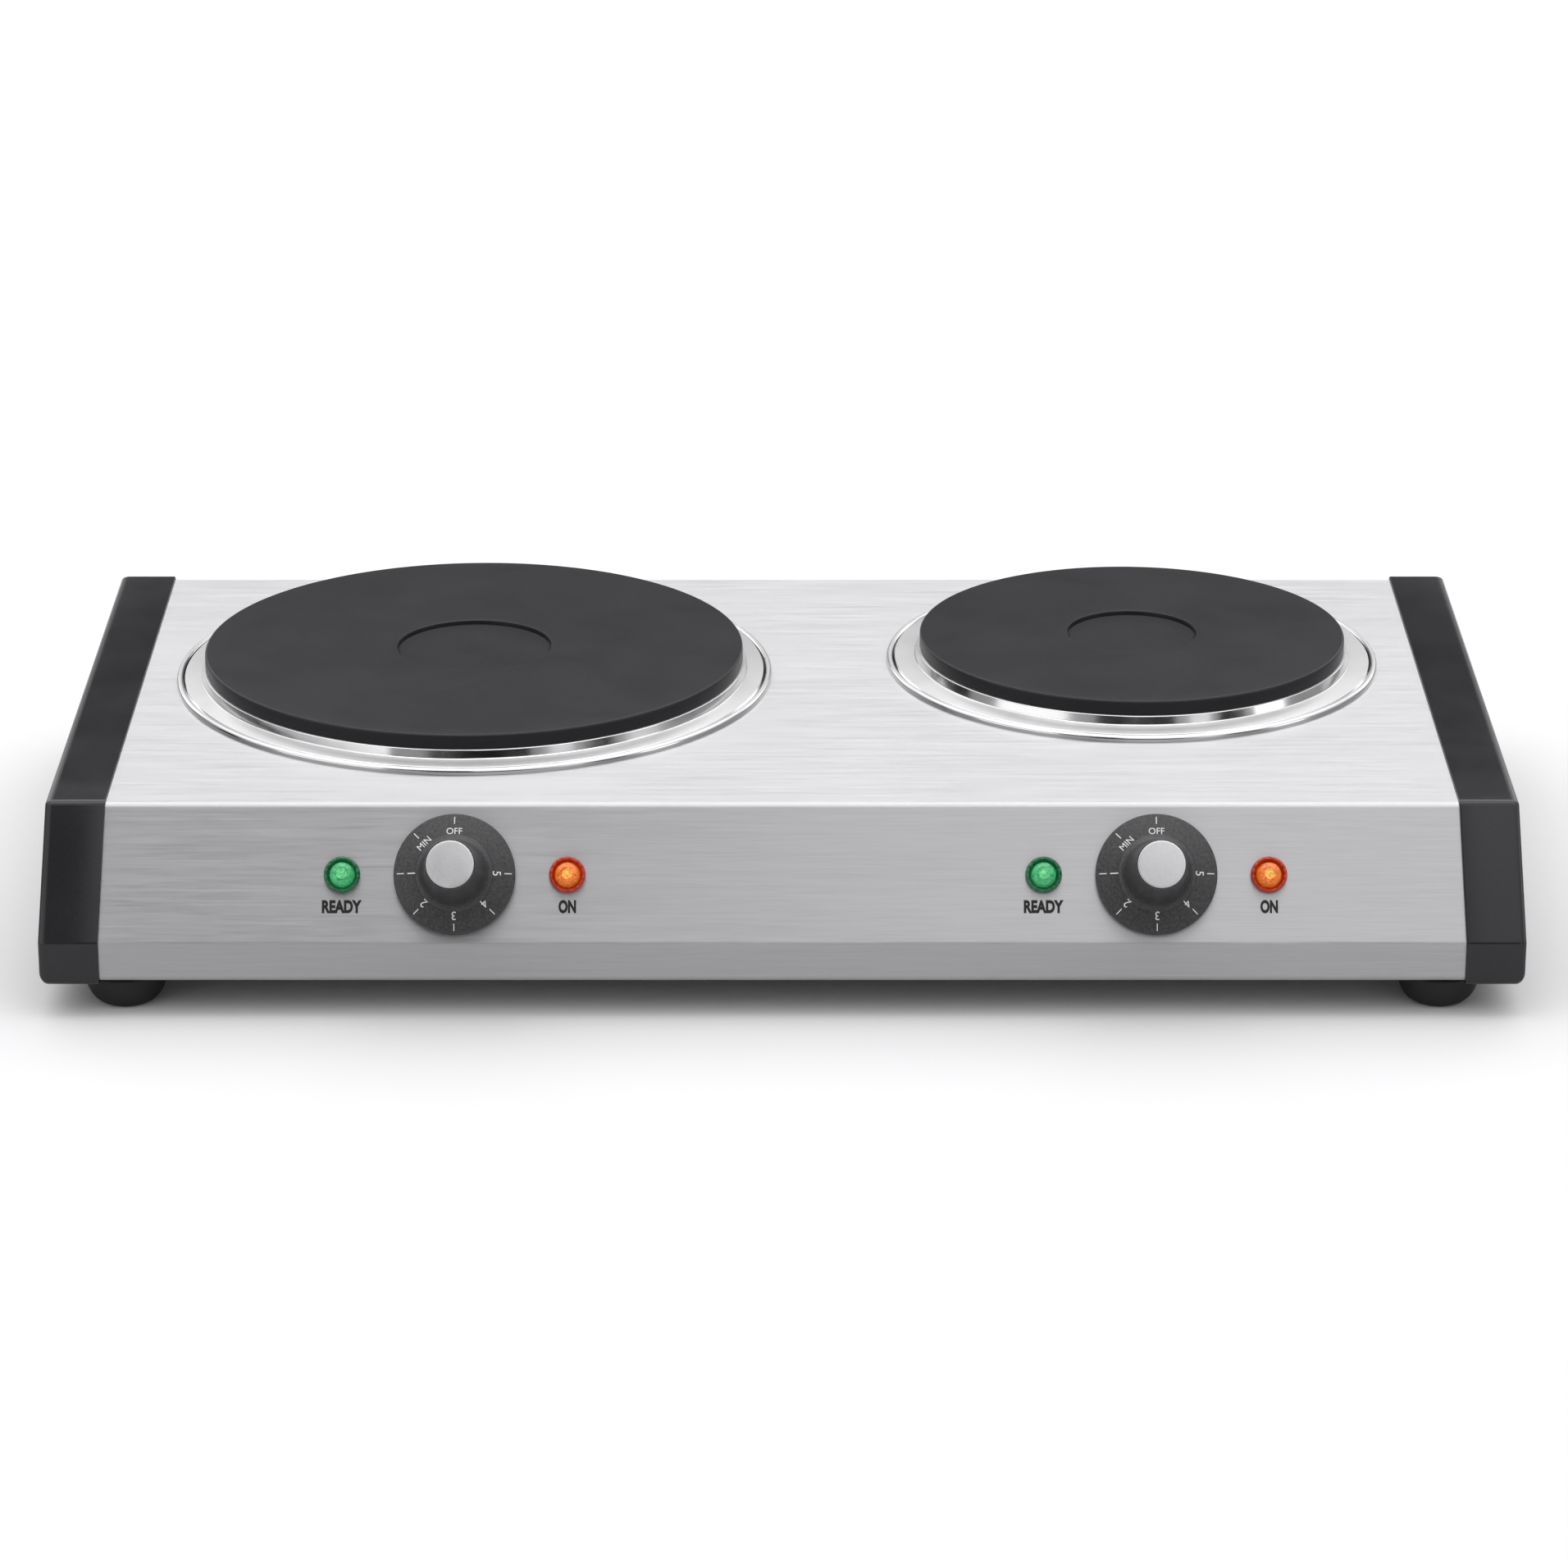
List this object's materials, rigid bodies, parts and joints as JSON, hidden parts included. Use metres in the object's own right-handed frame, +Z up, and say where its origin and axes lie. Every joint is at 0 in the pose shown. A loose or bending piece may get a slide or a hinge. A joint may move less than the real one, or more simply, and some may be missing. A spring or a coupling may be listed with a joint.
{
  "type": "double hot plate",
  "caption": "Free-standing electric hot plate with a large and a small cast-iron plate, each with its own turning thermostat knob and two indicator lamps.",
  "frame": {"origin": "on the worktop, under the middle of the whole object's outline", "axes": "+X to the user's right, +Y to the back, +Z up; the knobs face -Y"},
  "size_m": [0.495, 0.2932, 0.0789],
  "materials": {
    "steel_sheet": "brushed from side to side",
    "zinc_sheet": "plain zinc-plated sheet",
    "cap_moulding": "satin black moulding",
    "foot_rubber": "matt black",
    "zinc_screw": "zinc plated",
    "cast_plate": "satin black heat-resistant coating",
    "polished_ring": "polished",
    "heater_alloy": "dark oxide",
    "filler_cement": "fired cement",
    "white_ceramic": "unglazed",
    "cutoff_body": "satin",
    "contact_brass": "rolled strip",
    "green_lens": "clear green moulding",
    "amber_lens": "clear red-orange moulding",
    "neon_glass": "clear bulb",
    "gland_moulding": "black moulding",
    "black_wire": "silicone sleeve",
    "white_wire": "silicone sleeve",
    "red_wire": "silicone sleeve",
    "green_wire": "silicone sleeve",
    "grey_wire": "silicone sleeve",
    "knob_moulding": "fine-grained black moulding",
    "knob_insert": "satin disc",
    "spindle_steel": "turned"
  },
  "bodies": {
    "body": {"housing_shell": "steel_sheet", "rear_panel": "steel_sheet", "base_plate": "zinc_sheet", "plate_cover_large": "zinc_sheet", "plate_cover_small": "zinc_sheet", "clamp_bar_large": "zinc_sheet", "clamp_bar_small": "zinc_sheet", "thermostat_frame_left": "zinc_sheet", "thermostat_frame_right": "zinc_sheet", "cutoff_clips": "zinc_sheet", "lamp_clips": "zinc_sheet", "end_cap_left": "cap_moulding", "end_cap_right": "cap_moulding", "foot_front_left": "foot_rubber", "foot_front_right": "foot_rubber", "foot_back_left": "foot_rubber", "foot_back_right": "foot_rubber", "foot_screws": "zinc_screw", "housing_screws": "zinc_screw", "clamp_nuts": "zinc_screw", "plate_stud_large": "zinc_screw", "plate_stud_small": "zinc_screw", "thermostat_screws": "zinc_screw", "block_screws": "zinc_screw", "earth_screw": "zinc_screw", "hot_plate_large": "cast_plate", "hot_plate_small": "cast_plate", "trim_ring_large": "polished_ring", "trim_ring_small": "polished_ring", "heating_element_large": "heater_alloy", "heating_element_small": "heater_alloy", "ceramic_filler_large": "filler_cement", "ceramic_filler_small": "filler_cement", "plate_terminal_large": "white_ceramic", "plate_terminal_small": "white_ceramic", "thermostat_stack_left": "white_ceramic", "thermostat_stack_right": "white_ceramic", "mains_terminal_block": "white_ceramic", "thermal_cutoffs": "cutoff_body", "contact_blades_left": "contact_brass", "contact_blades_right": "contact_brass", "block_terminals": "contact_brass", "ready_lens_left": "green_lens", "ready_lens_right": "green_lens", "on_lens_left": "amber_lens", "on_lens_right": "amber_lens", "neon_lamps": "neon_glass", "cord_gland": "gland_moulding", "live_wires": "black_wire", "neutral_wires": "white_wire", "switched_wires": "red_wire", "earth_wire": "green_wire", "lamp_leads": "grey_wire"},
    "left_control": {"knob_left": "knob_moulding", "knob_cap_left": "knob_insert", "spindle_left": "spindle_steel"},
    "right_control": {"knob_right": "knob_moulding", "knob_cap_right": "knob_insert", "spindle_right": "spindle_steel"}
  },
  "joints": [
    {"name": "left_knob_turn", "type": "hinge", "parent": "body", "child": "left_control", "pos_m": [-0.109, -0.11729, 0.04671], "axis": [0, 0.8835, -0.4684], "range_deg": [0, 270]},
    {"name": "right_knob_turn", "type": "hinge", "parent": "body", "child": "right_control", "pos_m": [0.1245, -0.11729, 0.04671], "axis": [0, 0.8835, -0.4684], "range_deg": [0, 270]}
  ]
}
